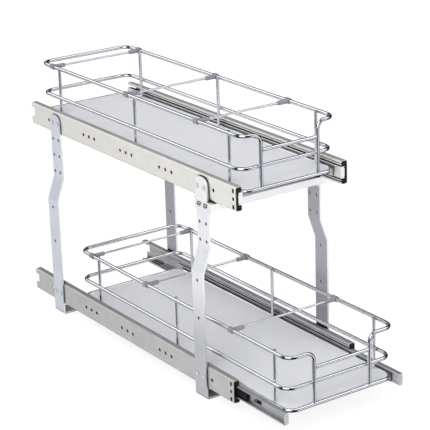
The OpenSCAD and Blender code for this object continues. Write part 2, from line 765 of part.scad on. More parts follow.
front_frame_bar();
rear_frame_bar();
upper_front_crossbar();
crossbar_screws();
crossbar_nuts();
frame_rivets();
mouth_stops();
outer_member(UPPER, LEFT);  // upper_left_outer_member
outer_member(UPPER, RIGHT);  // upper_right_outer_member
outer_member(LOWER, LEFT);  // lower_left_outer_member
outer_member(LOWER, RIGHT);  // lower_right_outer_member
middle_member(UPPER, LEFT);  // upper_left_middle_member
middle_member(UPPER, RIGHT);  // upper_right_middle_member
middle_member(LOWER, LEFT);  // lower_left_middle_member
middle_member(LOWER, RIGHT);  // lower_right_middle_member
middle_stops(UPPER);  // upper_middle_stops
middle_stops(LOWER);  // lower_middle_stops
outer_cage(UPPER, LEFT);  // upper_left_outer_cage
outer_cage(UPPER, RIGHT);  // upper_right_outer_cage
outer_cage(LOWER, LEFT);  // lower_left_outer_cage
outer_cage(LOWER, RIGHT);  // lower_right_outer_cage
inner_cage(UPPER, LEFT);  // upper_left_inner_cage
inner_cage(UPPER, RIGHT);  // upper_right_inner_cage
inner_cage(LOWER, LEFT);  // lower_left_inner_cage
inner_cage(LOWER, RIGHT);  // lower_right_inner_cage
outer_balls(UPPER);  // upper_outer_balls
inner_balls(UPPER);  // upper_inner_balls
outer_balls(LOWER);  // lower_outer_balls
inner_balls(LOWER);  // lower_inner_balls
inner_member(UPPER, LEFT);  // upper_left_inner_member
inner_member(UPPER, RIGHT);  // upper_right_inner_member
inner_member(LOWER, LEFT);  // lower_left_inner_member
inner_member(LOWER, RIGHT);  // lower_right_inner_member
release_lever(UPPER, LEFT);  // upper_left_release_lever
release_lever(UPPER, RIGHT);  // upper_right_release_lever
release_lever(LOWER, LEFT);  // lower_left_release_lever
release_lever(LOWER, RIGHT);  // lower_right_release_lever
mounting_strips(UPPER);  // upper_mounting_strips
mounting_strips(LOWER);  // lower_mounting_strips
strip_rivets(UPPER);  // upper_strip_rivets
strip_rivets(LOWER);  // lower_strip_rivets
base_frame(UPPER);  // upper_base_frame
base_frame(LOWER);  // lower_base_frame
floor_wires(UPPER);  // upper_floor_wires
floor_wires(LOWER);  // lower_floor_wires
liner(UPPER);  // upper_liner
liner(LOWER);  // lower_liner
hoops(UPPER);  // upper_hoops
hoops(LOWER);  // lower_hoops
middle_rail(UPPER);  // upper_middle_rail
middle_rail(LOWER);  // lower_middle_rail
top_rail(UPPER);  // upper_top_rail
top_rail(LOWER);  // lower_top_rail
front_wire(UPPER);  // upper_front_wire
front_wire(LOWER);  // lower_front_wire
cross_ties(UPPER, UPPER_TIE_Y);  // upper_cross_ties
cross_ties(LOWER, LOWER_TIE_Y);  // lower_cross_ties
tie_clips(UPPER, UPPER_TIE_Y);  // upper_tie_clips
tie_clips(LOWER, LOWER_TIE_Y);  // lower_tie_clips
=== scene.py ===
import math

import bmesh
import bpy
import numpy as np
from mathutils import Matrix, Vector


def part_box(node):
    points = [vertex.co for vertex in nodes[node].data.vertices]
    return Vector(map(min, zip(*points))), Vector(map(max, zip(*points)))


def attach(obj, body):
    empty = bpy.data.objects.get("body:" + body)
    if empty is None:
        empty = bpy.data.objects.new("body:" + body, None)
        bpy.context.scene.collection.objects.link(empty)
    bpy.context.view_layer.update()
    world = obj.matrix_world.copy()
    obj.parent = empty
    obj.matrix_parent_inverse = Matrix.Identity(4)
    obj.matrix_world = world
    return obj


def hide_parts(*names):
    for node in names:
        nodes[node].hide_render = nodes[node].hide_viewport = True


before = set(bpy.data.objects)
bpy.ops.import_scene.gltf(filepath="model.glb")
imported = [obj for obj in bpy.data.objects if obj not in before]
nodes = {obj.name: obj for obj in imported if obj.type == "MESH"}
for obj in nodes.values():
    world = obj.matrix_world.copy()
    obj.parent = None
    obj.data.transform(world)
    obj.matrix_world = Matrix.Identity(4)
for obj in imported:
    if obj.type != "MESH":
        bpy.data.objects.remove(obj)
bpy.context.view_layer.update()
scene = bpy.context.scene
scene.view_settings.view_transform = "Standard"

# ---------------------------------------------------------------- camera
# A long lens looks down on the front left corner of the cabinet unit from a little above it,
# turned very slightly about its own line of sight.
CAMERA_PLACE = (-1.2142, -1.8643, 0.9600)
CAMERA_AZIMUTH = math.radians(-34.24)
CAMERA_ELEVATION = math.radians(19.41)
CAMERA_ROLL = math.radians(-1.85)
FOCAL_LENGTH = 142.87
FILM_WIDTH = 36.0
CLIP_END = 20.0

camera_data = bpy.data.cameras.new("camera")
camera_data.sensor_width = FILM_WIDTH
camera_data.lens = FOCAL_LENGTH
camera_data.clip_end = CLIP_END
camera = bpy.data.objects.new("camera", camera_data)
scene.collection.objects.link(camera)
line_of_sight = Vector((
    -math.sin(CAMERA_AZIMUTH) * math.cos(CAMERA_ELEVATION),
    math.cos(CAMERA_AZIMUTH) * math.cos(CAMERA_ELEVATION),
    -math.sin(CAMERA_ELEVATION),
))
level_right = Vector((math.cos(CAMERA_AZIMUTH), math.sin(CAMERA_AZIMUTH), 0.0))
level_up = level_right.cross(line_of_sight)
right = level_right * math.cos(CAMERA_ROLL) + level_up * math.sin(CAMERA_ROLL)
up = level_up * math.cos(CAMERA_ROLL) - level_right * math.sin(CAMERA_ROLL)
camera.matrix_world = Matrix.Translation(CAMERA_PLACE) @ Matrix((
    (right.x, up.x, -line_of_sight.x),
    (right.y, up.y, -line_of_sight.y),
    (right.z, up.z, -line_of_sight.z),
)).to_4x4()
scene.camera = camera

# ---------------------------------------------------------------- studio
# A white sweep with soft light all round and three softboxes. Polished metal sees a dark room with
# round patches of light, each given by its way, its inner and outer angle in degrees and its colour.
ROOM_DARK = (0.014, 0.016, 0.026)
ROOM_LIGHTS = (
    ((0.30, -0.30, 0.90), 13, 34, (1.35, 1.36, 1.39)),      # overhead
    ((0.52, -0.77, -0.34), 9, 27, (1.05, 1.06, 1.09)),      # front right, low
    ((-0.33, 0.76, 0.55), 11, 24, (1.50, 1.51, 1.54)),      # behind on the left, high
    ((-0.58, 0.74, -0.34), 12, 34, (0.52, 0.52, 0.52)),     # behind on the left, low
    ((0.53, 0.78, 0.34), 8, 24, (0.16, 0.17, 0.20)),        # behind on the right, faint
    ((-0.78, -0.53, -0.25), 12, 34, (0.26, 0.265, 0.28)),   # front left, low and dim
)
WHITE = (1, 1, 1, 1)
SOFT_LIGHT = 0.80
FLOOR_HALF = 3.0
FLOOR_DROP = 0.0005
FLOOR_MATT = (0.94, 0.94, 0.94, 1)
FLOOR_GLOW = 1.10
FLOOR_GLOW_SHARE = 0.78
BASKETS_MIDDLE = (0, 0, 0.15)
UPPER_FRONT_CORNER = (-0.10, -0.33, 0.33)


def fill(tree, node, **sockets):
    """Gives each socket a value or another node's output; i0, i1 and so on stand for its number."""
    for key, value in sockets.items():
        name = int(key[1:]) if key[1:].isdigit() else key.replace("_", " ")
        if isinstance(value, bpy.types.NodeSocket):
            tree.links.new(value, node.inputs[name])
        else:
            node.inputs[name].default_value = value
    return node


def put(tree, kind, settings=None, **sockets):
    """One new node with its settings, its sockets filled."""
    node = tree.nodes.new(kind)
    for key, value in (settings or {}).items():
        setattr(node, key, value)
    return fill(tree, node, **sockets)


def ranged(tree, value, source, target=(0.0, 1.0), easing="LINEAR"):
    """The value carried from the source's two ends to the target's, and held at them outside."""
    return put(tree, "ShaderNodeMapRange", {"interpolation_type": easing}, Value=value,
               From_Min=source[0], From_Max=source[1], To_Min=target[0], To_Max=target[1]).outputs[0]


def room_light(tree, direction, way, inner, outer, colour):
    """Soft round patch of light: full inside the inner angle from its way, none past the outer."""
    along = put(tree, "ShaderNodeVectorMath", {"operation": "DOT_PRODUCT"},
                i0=direction, i1=Vector(way).normalized()).outputs["Value"]
    cosines = (math.cos(math.radians(outer)), math.cos(math.radians(inner)))
    level = ranged(tree, along, cosines, easing="SMOOTHSTEP")
    return put(tree, "ShaderNodeVectorMath", {"operation": "SCALE"}, i0=colour, Scale=level).outputs[0]


world = bpy.data.worlds.new("studio")
scene.world = world
world.use_nodes = True
studio = world.node_tree
studio.nodes.clear()
sky_direction = put(studio, "ShaderNodeTexCoord").outputs["Generated"]
room = put(studio, "ShaderNodeCombineXYZ", X=ROOM_DARK[0], Y=ROOM_DARK[1], Z=ROOM_DARK[2]).outputs[0]
for way, inner, outer, colour in ROOM_LIGHTS:
    patch = room_light(studio, sky_direction, way, inner, outer, colour)
    room = put(studio, "ShaderNodeVectorMath", {"operation": "ADD"}, i0=room, i1=patch).outputs[0]
paths = put(studio, "ShaderNodeLightPath")
seen = put(studio, "ShaderNodeMath", {"operation": "MAXIMUM"},
           i0=paths.outputs["Is Camera Ray"], i1=paths.outputs["Is Transmission Ray"])
soft_light = put(studio, "ShaderNodeBackground", Color=WHITE, Strength=SOFT_LIGHT)
mirrored_room = put(studio, "ShaderNodeBackground", Color=room, Strength=1.0)
white_sweep = put(studio, "ShaderNodeBackground", Color=WHITE, Strength=1.0)
lighting = put(studio, "ShaderNodeMixShader", i0=paths.outputs["Is Glossy Ray"],
               i1=soft_light.outputs[0], i2=mirrored_room.outputs[0])
backdrop = put(studio, "ShaderNodeMixShader", i0=seen.outputs[0],
               i1=lighting.outputs[0], i2=white_sweep.outputs[0])
put(studio, "ShaderNodeOutputWorld", Surface=backdrop.outputs[0])

floor_mesh = bpy.data.meshes.new("floor")
floor_corners = [(x * FLOOR_HALF, y * FLOOR_HALF, 0) for x, y in ((-1, -1), (1, -1), (1, 1), (-1, 1))]
floor_mesh.from_pydata(floor_corners, [], [(0, 1, 2, 3)])
floor = bpy.data.objects.new("floor", floor_mesh)
floor.location.z = -FLOOR_DROP
floor.visible_glossy = False
scene.collection.objects.link(floor)
floor_paint = bpy.data.materials.new("floor paint")
floor_paint.use_nodes = True
floor_tree = floor_paint.node_tree
floor_tree.nodes.clear()
floor_paths = put(floor_tree, "ShaderNodeLightPath")
glow_share = put(floor_tree, "ShaderNodeMath", {"operation": "MULTIPLY"},
                 i0=floor_paths.outputs["Is Camera Ray"], i1=FLOOR_GLOW_SHARE)
floor_matt = put(floor_tree, "ShaderNodeBsdfDiffuse", Color=FLOOR_MATT)
floor_white = put(floor_tree, "ShaderNodeEmission", Color=WHITE, Strength=FLOOR_GLOW)
floor_look = put(floor_tree, "ShaderNodeMixShader", i0=glow_share.outputs[0],
                 i1=floor_matt.outputs[0], i2=floor_white.outputs[0])
put(floor_tree, "ShaderNodeOutputMaterial", Surface=floor_look.outputs[0])
floor_mesh.materials.append(floor_paint)


def softbox(name, place, target, side, watts):
    """Square lamp at a place, turned towards its target."""
    lamp = bpy.data.lights.new(name, "AREA")
    lamp.shape = "SQUARE"
    lamp.size = side
    lamp.energy = watts
    holder = bpy.data.objects.new(name, lamp)
    holder.location = place
    holder.rotation_euler = (Vector(target) - Vector(place)).to_track_quat("-Z", "Y").to_euler()
    scene.collection.objects.link(holder)


softbox("key light", (-1.6, -0.9, 2.2), BASKETS_MIDDLE, side=1.6, watts=14)
softbox("front light", (-0.75, -0.75, 0.75), UPPER_FRONT_CORNER, side=0.7, watts=3.8)
softbox("fill light", (1.8, -1.4, 1.4), BASKETS_MIDDLE, side=1.4, watts=6)

# ---------------------------------------------------------------- flat bar frame
# Two flat steel bars, each bent to a left post, a floor strip and a right post. They are zinc
# plated and cool in tone, with fine rolling lines along the bar and bright sheared edges.
# Painted shade: the colour that ambient occlusion paints into hollows, and the width of its fade.
HOLLOW_SHADE = (0.012, 0.011, 0.010, 1)
HOLLOW_SHADE_FADE = 0.38
CLOUD_SCALE = 55.0
CLOUD_SHARE = 0.55
ROLLING_SHARE = 0.75
COLOUR_SPREAD = (0.42, 0.88)
GLOSS_SPREAD = (0.3, 1.0)
INWARD = (-0.45, -0.60)
UPWARD = (0.80, 0.97)
END_ON = (0.93, 0.99)
EDGE_ROUND = 0.0004
RELIEF_STRENGTH = 0.22
RELIEF_HEIGHT = 0.00006
PLATE_METALLIC = 0.42


def new_finish(name):
    """An empty material: its node tree, and its shader joined to the output."""
    finish = bpy.data.materials.new(name)
    finish.use_nodes = True
    return finish, finish.node_tree, finish.node_tree.nodes["Principled BSDF"]


def noise(tree, place, scale, detail, roughness=0.5):
    """Noise from 0 to 1 over the place."""
    return put(tree, "ShaderNodeTexNoise", Vector=place, Scale=scale, Detail=detail,
               Roughness=roughness).outputs["Fac"]


def worked(tree, operation, *values, clamp=False):
    """One step of arithmetic on the values; clamp holds its result between 0 and 1."""
    settings = {"operation": operation, "use_clamp": clamp}
    sockets = {f"i{number}": value for number, value in enumerate(values)}
    return put(tree, "ShaderNodeMath", settings, **sockets).outputs[0]


def mixed(tree, share, low, high):
    """Colour that runs from low to high as the share runs from 0 to 1."""
    return put(tree, "ShaderNodeMix", {"data_type": "RGBA"}, Factor=share, i6=low, i7=high).outputs[2]


def part_of(tree, vector, axis):
    """The vector's X, Y or Z."""
    return put(tree, "ShaderNodeSeparateXYZ", Vector=vector).outputs[axis]


def bumped(tree, height, strength, distance, **sockets):
    """The normal, tilted by the height."""
    return put(tree, "ShaderNodeBump", Height=height, Strength=strength, Distance=distance,
               **sockets).outputs[0]


def shaded_inner_faces(tree, where, plate, back):
    """Painted shade: the back colour on faces whose normal's x points to the middle, the plate on all others.
    """
    side = worked(tree, "SIGN", part_of(tree, where.outputs["Object"], "X"))
    outward = worked(tree, "MULTIPLY", side, part_of(tree, where.outputs["Normal"], "X"))
    return mixed(tree, ranged(tree, outward, INWARD), plate, back)


def shaded_top(tree, where, plate, top, rolling):
    """Painted shade: on faces that look up, the rolling noise runs from the top colour to the plate's."""
    worn = mixed(tree, rolling, top, plate)
    upward = ranged(tree, part_of(tree, where.outputs["Normal"], "Z"), UPWARD)
    return mixed(tree, upward, plate, worn)


def plated_sheet(name, light, dark, lines, rough, edge, edge_axis, shade_depth, shade_from=0.45,
                 back=None, top=None, foot_shade=None):
    """Plated sheet metal. Noise drawn out by the lines' scales and a cloudy noise add up to a share
    that varies colour, roughness and height. Cut edges that face along edge_axis are brighter, and
    painted shade darkens hollows narrower than shade_depth. A back colour is painted shade on a bar's
    inner faces, and a top colour is painted shade on faces that look up, streaked by the rolling noise.
    The last argument (share, low, high) is painted shade that darkens the plate to that share of its
    colour from the high height down to the low."""
    finish, tree, shader = new_finish(name)
    where = put(tree, "ShaderNodeTexCoord")
    place = where.outputs["Object"]
    drawn_out = put(tree, "ShaderNodeMapping", Vector=place, Scale=lines).outputs[0]
    rolling = noise(tree, drawn_out, scale=1.0, detail=3.0, roughness=0.6)
    cloud = noise(tree, place, scale=CLOUD_SCALE, detail=4.0, roughness=0.65)
    cloud = worked(tree, "MULTIPLY", cloud, CLOUD_SHARE)
    share = worked(tree, "MULTIPLY_ADD", rolling, ROLLING_SHARE, cloud, clamp=True)
    plate = mixed(tree, ranged(tree, share, COLOUR_SPREAD), dark, light)
    # Painted shade on the inner faces.
    if back:
        plate = shaded_inner_faces(tree, where, plate, back)
    # Painted shade on faces that look up.
    if top:
        plate = shaded_top(tree, where, plate, top, rolling)
    end_on = worked(tree, "ABSOLUTE", part_of(tree, where.outputs["Normal"], edge_axis))
    plate = mixed(tree, ranged(tree, end_on, END_ON), plate, edge)
    # Painted shade: the plate is darkened towards the foot.
    if foot_shade:
        level = ranged(tree, part_of(tree, place, "Z"), foot_shade[1:], (foot_shade[0], 1.0), "SMOOTHSTEP")
        plate = put(tree, "ShaderNodeVectorMath", {"operation": "SCALE"}, i0=plate, Scale=level).outputs[0]
    # Painted shade: ambient occlusion paints hollows and the joins between parts dark.
    openness = put(tree, "ShaderNodeAmbientOcclusion", {"samples": 8}, Distance=shade_depth).outputs["AO"]
    unshaded = ranged(tree, openness, (shade_from, shade_from + HOLLOW_SHADE_FADE), easing="SMOOTHSTEP")
    soft_edge = put(tree, "ShaderNodeBevel", {"samples": 4}, Radius=EDGE_ROUND).outputs[0]
    fill(tree, shader, Base_Color=mixed(tree, unshaded, HOLLOW_SHADE, plate),
         Roughness=ranged(tree, share, GLOSS_SPREAD, (rough[1], rough[0])),
         Normal=bumped(tree, share, RELIEF_STRENGTH, RELIEF_HEIGHT, Normal=soft_edge),
         Metallic=PLATE_METALLIC)
    return finish


def dress(finish, *names):
    """Gives a finish to the nodes of these names."""
    for name in names:
        mesh = nodes[name].data
        mesh.materials.clear()
        mesh.materials.append(finish)


# Painted shade: faces of the bars that look up are painted near black.
# Painted shade: the bars' inner faces are painted darker.
BAR_PLATE = dict(lines=(22, 1500, 22), rough=(0.24, 0.40), edge_axis="Y", shade_depth=0.006,
                 shade_from=0.50, top=(0.03, 0.03, 0.04, 1))
bar_finish = plated_sheet("zinc flat bar", light=(0.83, 0.855, 0.93, 1), dark=(0.70, 0.725, 0.81, 1),
                          edge=(0.93, 0.93, 0.94, 1), back=(0.51, 0.515, 0.56, 1), **BAR_PLATE)
dress(bar_finish, "rear_frame_bar")
# Painted light and shade: the front bar is painted brighter than the rear bar, and darker towards its foot.
front_bar_finish = plated_sheet("front zinc flat bar", light=(0.97, 0.98, 1.0, 1),
                                dark=(0.86, 0.875, 0.93, 1), edge=(0.96, 0.96, 0.97, 1),
                                back=(0.55, 0.555, 0.60, 1), foot_shade=(0.64, 0.07, 0.17), **BAR_PLATE)
dress(front_bar_finish, "front_frame_bar")

# ---------------------------------------------------------------- upper front crossbar
# A bright plated sheet between the upper slides, with its web upright, its flange forward and a
# lug at each end. It is blanked, folded and then screwed to the front posts.
crossbar_finish = plated_sheet("bright crossbar", light=(0.97, 0.97, 0.975, 1), dark=(0.90, 0.905, 0.92, 1),
                               lines=(16, 900, 900), rough=(0.16, 0.27), edge=(0.95, 0.95, 0.95, 1),
                               edge_axis="Z", shade_depth=0.005, shade_from=0.3)
dress(crossbar_finish, "upper_front_crossbar")

# ---------------------------------------------------------------- crossbar screws and nuts
# Four M4 pan head machine screws hold the crossbar's lugs to the posts, each drawn up by a hexagon
# nut inside. The heads are cold formed with a cross recess, and all are zinc plated.
HEAD_R = 0.0032
HEAD_H = 0.0024
HEAD_STEPS = 24
HEAD_CROWDING = 0.85
HEAD_FULLNESS = 2.9
SHANK_R = 0.002
SHANK_LEN = 0.0077
RECESS_HALF = 0.00048
RECESS_FLANK = 0.00022
RECESS_REACH = 0.0017
RECESS_RUNOUT = 0.0004
RECESS_DEPTH = 0.0013
NUT_CORNER_R = 0.0037
NUT_H = 0.003
NUT_FACE_SHARE = 0.97
MERGE_WITHIN = 1e-7
# Painted shade at the fasteners' rims: the fade of the ambient occlusion and its dark colour.
RIM_SHADE_FADE = (0.62, 0.86)
RIM_SHADE = (0.015, 0.015, 0.018, 1)


def grid_faces(rows, columns, close_rows=False):
    """Quads of a grid whose columns run round in a ring; close_rows joins the last row to the first."""
    row = np.arange(rows if close_rows else rows - 1)[:, None]
    column = np.arange(columns)[None, :]
    next_row = (row + 1) % rows
    next_column = (column + 1) % columns
    corners = (row * columns + column, row * columns + next_column,
               next_row * columns + next_column, next_row * columns + column)
    return np.stack([corner + 0 * column for corner in corners], axis=-1).reshape(-1, 4)


def repeated(shape, faces, places):
    """The same shape at each place: its points moved by each offset, its faces counted on."""
    points = (shape[None] + np.asarray(places)[:, None]).reshape(-1, 3)
    counted = faces[None] + (np.arange(len(places)) * len(shape))[:, None, None]
    return points, counted.reshape(-1, faces.shape[1])


def gathered(*shapes):
    """Several (points, faces) shapes as one, each shape's faces counted on from the last."""
    starts = np.cumsum([0] + [len(points) for points, faces in shapes[:-1]])
    return (np.concatenate([points for points, faces in shapes]),
            np.concatenate([faces + start for start, (points, faces) in zip(starts, shapes)]))


def new_piece(name, points, faces, finish, smooth_angle=40, merge=True):
    """A closed mesh object at the origin, its faces turned outwards and, with merge, its doubled
    points made one."""
    mesh = bpy.data.meshes.new(name)
    mesh.from_pydata(points.tolist(), [], faces.tolist() if isinstance(faces, np.ndarray) else faces)
    shell = bmesh.new()
    shell.from_mesh(mesh)
    if merge:
        bmesh.ops.remove_doubles(shell, verts=shell.verts, dist=MERGE_WITHIN)
    bmesh.ops.recalc_face_normals(shell, faces=shell.faces)
    shell.to_mesh(mesh)
    shell.free()
    mesh.shade_smooth()
    mesh.set_sharp_from_angle(angle=math.radians(smooth_angle))
    mesh.materials.append(finish)
    piece = bpy.data.objects.new(name, mesh)
    scene.collection.objects.link(piece)
    return piece


def pan_head_screw(ring=48):
    """Outward along x: with t from 0 at the middle to 1 at the rim, the radius is t^0.85 of the head's
    and the height (1 - t^2.9)^0.5 of it, less a cross recess where the smaller of |y|, |z| is under
    half an arm; then the shank, back to its end."""
    out = np.linspace(0, 1, HEAD_STEPS)
    radius = np.concatenate([out ** HEAD_CROWDING * HEAD_R, [SHANK_R, SHANK_R, 0]])
    height = np.concatenate([HEAD_H * np.sqrt(1 - out ** HEAD_FULLNESS), [0, -SHANK_LEN, -SHANK_LEN]])
    turn = np.linspace(0, 2 * np.pi, ring, endpoint=False)
    y = radius[:, None] * np.cos(turn)
    z = radius[:, None] * np.sin(turn)
    across = np.minimum(np.abs(y), np.abs(z))
    along = np.maximum(np.abs(y), np.abs(z))
    arm = (np.clip((RECESS_HALF - across) / RECESS_FLANK, 0, 1)
           * np.clip((RECESS_REACH - along) / RECESS_RUNOUT, 0, 1))
    on_head = (np.arange(len(radius)) < HEAD_STEPS)[:, None]
    x = height[:, None] - on_head * arm * RECESS_DEPTH
    return np.stack([x + 0 * y, y, z], axis=-1).reshape(-1, 3), grid_faces(len(radius), ring)


def hexagon_nut(ring=72):
    """Round the x axis: a hexagon of radius a / cos(angle from the nearest flat), its two faces cut
    back in a 30 degree cone outside the flats, with a round hole along its middle."""
    turn = np.linspace(0, 2 * np.pi, ring, endpoint=False)
    flat = NUT_CORNER_R * math.cos(math.pi / 6)
    corner = flat / np.cos((turn + math.pi / 6) % (math.pi / 3) - math.pi / 6)
    drop = (corner - flat) * math.tan(math.pi / 6)
    hole = 0 * turn + SHANK_R
    face = 0 * turn + flat * NUT_FACE_SHARE
    near, far = 0 * turn, 0 * turn + NUT_H
    radii = np.stack([hole, hole, face, corner, corner, face])
    along = np.stack([near, far, far, NUT_H - drop, drop, near])
    points = np.stack([along, radii * np.cos(turn), radii * np.sin(turn)], axis=-1).reshape(-1, 3)
    return points, grid_faces(len(radii), ring, close_rows=True)


def grained_metal(name, scale, detail, deep, pale, rough, strength, distance, metallic, rim_shade_depth=None):
    """One fine noise varies colour, roughness and height. Painted shade darkens it near a neighbour."""
    finish, tree, shader = new_finish(name)
    grain = noise(tree, put(tree, "ShaderNodeTexCoord").outputs["Object"], scale, detail)
    colour = mixed(tree, grain, deep, pale)
    # Painted shade near neighbouring surfaces, from ambient occlusion.
    if rim_shade_depth:
        openness = put(tree, "ShaderNodeAmbientOcclusion", {"samples": 8}, Distance=rim_shade_depth).outputs["AO"]
        colour = mixed(tree, ranged(tree, openness, RIM_SHADE_FADE), RIM_SHADE, colour)
    fill(tree, shader, Base_Color=colour, Roughness=ranged(tree, grain, (0.0, 1.0), rough),
         Normal=bumped(tree, grain, strength, distance), Metallic=metallic)
    return finish


fastener_finish = grained_metal("zinc fastener", scale=1400.0, detail=4.0, deep=(0.62, 0.62, 0.64, 1),
                                pale=(0.88, 0.88, 0.90, 1), rough=(0.22, 0.42), strength=0.2,
                                distance=0.00005, metallic=0.8, rim_shade_depth=0.0030)
screw_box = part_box("crossbar_screws")
nut_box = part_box("crossbar_nuts")
screw_y = (screw_box[0][1] + HEAD_R, screw_box[1][1] - HEAD_R)
screw_z = (screw_box[0][2] + screw_box[1][2]) / 2
mirrored = np.array([-1.0, 1.0, 1.0])

screw_shape, screw_faces = pan_head_screw()
left_screws = repeated(screw_shape * mirrored, screw_faces,
                       [(screw_box[0][0] + HEAD_H, y, screw_z) for y in screw_y])
right_screws = repeated(screw_shape, screw_faces, [(screw_box[1][0] - HEAD_H, y, screw_z) for y in screw_y])
screws = new_piece("crossbar_pan_heads", *gathered(left_screws, right_screws), fastener_finish,
                   smooth_angle=50)
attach(screws, "frame")
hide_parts("crossbar_screws")

nut_shape, nut_faces = hexagon_nut()
left_nuts = repeated(nut_shape, nut_faces, [(nut_box[0][0], y, screw_z) for y in screw_y])
right_nuts = repeated(nut_shape * mirrored, nut_faces, [(nut_box[1][0], y, screw_z) for y in screw_y])
nuts = new_piece("crossbar_hexagon_nuts", *gathered(left_nuts, right_nuts), fastener_finish,
                 smooth_angle=25)
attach(nuts, "frame")
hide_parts("crossbar_nuts")

# ---------------------------------------------------------------- rivets
# Flush steel rivets fasten the slides to the posts, and smaller ones fasten the baskets' strips to
# the inner members. Their heads are pressed flat, the frame's in the colour of the rear bar.
TIERS = ("upper", "lower")
dress(bar_finish, "frame_rivets")
dress(fastener_finish, *[f"{tier}_strip_rivets" for tier in TIERS])

# ---------------------------------------------------------------- slides' outer members
# Roll formed steel channels, riveted to the posts and open towards the baskets. The plate is warm
# and satin, streaked along the roll, with bright sheared ends. The lower pair is painted darker, and
# the tops of the flanges are painted dark, both as painted shade.
SIDES = ("left", "right")
# Painted shade: the lower pair's colours are darker copies of the upper pair's.
CHANNEL_LIGHT = {"upper": (0.92, 0.905, 0.865, 1), "lower": (0.67, 0.665, 0.655, 1)}
CHANNEL_DARK = {"upper": (0.82, 0.805, 0.765, 1), "lower": (0.54, 0.535, 0.525, 1)}
for tier in TIERS:
    channel_finish = plated_sheet(f"{tier} slide channel", light=CHANNEL_LIGHT[tier], dark=CHANNEL_DARK[tier],
                                  lines=(1000, 9, 1000), rough=(0.28, 0.44), edge=(0.90, 0.885, 0.85, 1),
                                  edge_axis="Y", shade_depth=0.010, shade_from=0.52,
                                  top=(0.10, 0.10, 0.10, 1))
    dress(channel_finish, *[f"{tier}_{side}_outer_member" for side in SIDES])

# ---------------------------------------------------------------- slides' middle and inner members
# The two members that run inside the channels are drawn from brighter strip. Painted shade keeps
# their corners dark, and the middle members' cut ends are painted black as painted shade. The lower
# pair and the flanges' tops are painted darker, also as painted shade. The baskets' flat strips are the same.
# Painted shade: the lower pair is painted darker than the upper, both plate and inner members' cut ends.
RUNNER_LIGHT = {"upper": (0.86, 0.855, 0.84, 1), "lower": (0.74, 0.75, 0.76, 1)}
RUNNER_DARK = {"upper": (0.76, 0.755, 0.74, 1), "lower": (0.34, 0.35, 0.37, 1)}
INNER_END = {"upper": (0.84, 0.835, 0.82, 1), "lower": (0.50, 0.50, 0.49, 1)}
# Painted shade: the middle members' cut ends are painted black, for the shade in the channels' mouths.
MIDDLE_END_SHADE = (0.03, 0.03, 0.03, 1)
MIDDLE_MEMBERS = ("left_middle_member", "right_middle_member")
INNER_MEMBERS = ("left_inner_member", "right_inner_member", "mounting_strips")
for tier in TIERS:
    for members, cut_end in ((MIDDLE_MEMBERS, MIDDLE_END_SHADE), (INNER_MEMBERS, INNER_END[tier])):
        runner_finish = plated_sheet(f"{tier} slide {members[0]}", light=RUNNER_LIGHT[tier],
                                     dark=RUNNER_DARK[tier], lines=(700, 6, 700), rough=(0.18, 0.32),
                                     edge=cut_end, edge_axis="Y", shade_depth=0.013, shade_from=0.38,
                                     top=(0.16, 0.16, 0.16, 1))
        dress(runner_finish, *[f"{tier}_{member}" for member in members])

# ---------------------------------------------------------------- ball cages and balls
# Each slide runs on two rows of hardened balls, held apart by thin pressed strips. The strips are
# yellowish steel, dulled by grease, and the balls are ground and polished.
cage_finish = plated_sheet("greased cage strip", light=(0.50, 0.47, 0.38, 1), dark=(0.34, 0.32, 0.26, 1),
                           lines=(900, 40, 900), rough=(0.34, 0.50), edge=(0.62, 0.60, 0.52, 1),
                           edge_axis="Y", shade_depth=0.004)
dress(cage_finish, *[f"{tier}_{side}_{row}_cage" for tier in TIERS for side in SIDES
                     for row in ("outer", "inner")])
ball_finish = grained_metal("polished ball", scale=900.0, detail=3.0, deep=(0.70, 0.69, 0.66, 1),
                            pale=(0.90, 0.90, 0.91, 1), rough=(0.04, 0.20), strength=0.05,
                            distance=0.00002, metallic=1.0)
dress(ball_finish, *[f"{tier}_{row}_balls" for tier in TIERS for row in ("outer", "inner")])

# ---------------------------------------------------------------- stops and release levers
# Black acetal mouldings: stops pressed into the mouths of the channels and of the middle members,
# with lugs that fill the slots beside the mouths, covers behind the inner members' windows, and the
# levers that let the inner members out. The surface is spark eroded, fine and half matt.
FLOW_SCALE = 160.0
GRAIN_STRENGTH = 0.35
LUG_IN = 0.0054
LUG_PROUD = 0.00025
LUG_BASE = 0.0004
LUG_HALF_Y = 0.0019
LUGS = ((0.0100, 0.0028), (-0.0004, 0.0021), (-0.0109, 0.0028))     # rise from the middle, half height
WINDOW_IN = 0.054
WINDOW_LEN = 0.016
WINDOW_H = 0.0064
COVER_DEPTH = 0.0012
COVER_CLEAR = 0.0001


def moulded_plastic(name, deep, pale, grain, rough, distance, specular=0.5):
    """Moulded plastic: a fine grain for height and gloss, and slow cloudy flow marks for colour."""
    finish, tree, shader = new_finish(name)
    place = put(tree, "ShaderNodeTexCoord").outputs["Object"]
    fine = noise(tree, place, grain, detail=2.0)
    flow = noise(tree, place, FLOW_SCALE, detail=3.0)
    fill(tree, shader, Base_Color=mixed(tree, flow, deep, pale),
         Roughness=ranged(tree, fine, (0.0, 1.0), rough),
         Normal=bumped(tree, fine, GRAIN_STRENGTH, distance), Specular_IOR_Level=specular)
    return finish


def rounded_blocks(centres, reach, rounds=16, rows=10, squareness=0.30):
    """Blocks with rounded edges: the sphere's sines and cosines raised to a small power, times reach."""
    turn = np.linspace(0, 2 * np.pi, rounds, endpoint=False)[None, :] + np.pi / rounds
    lift = np.linspace(-np.pi / 2, np.pi / 2, rows + 1)[:, None]
    raised = [np.sign(part) * np.abs(part) ** squareness
              for part in (np.cos(lift), np.cos(turn), np.sin(turn), np.sin(lift))]
    raised[0][[0, -1]] = 0
    block = np.stack([raised[0] * raised[1], raised[0] * raised[2], raised[3] + 0 * turn], axis=-1)
    return repeated(block.reshape(-1, 3) * np.asarray(reach), grid_faces(rows + 1, rounds), centres)


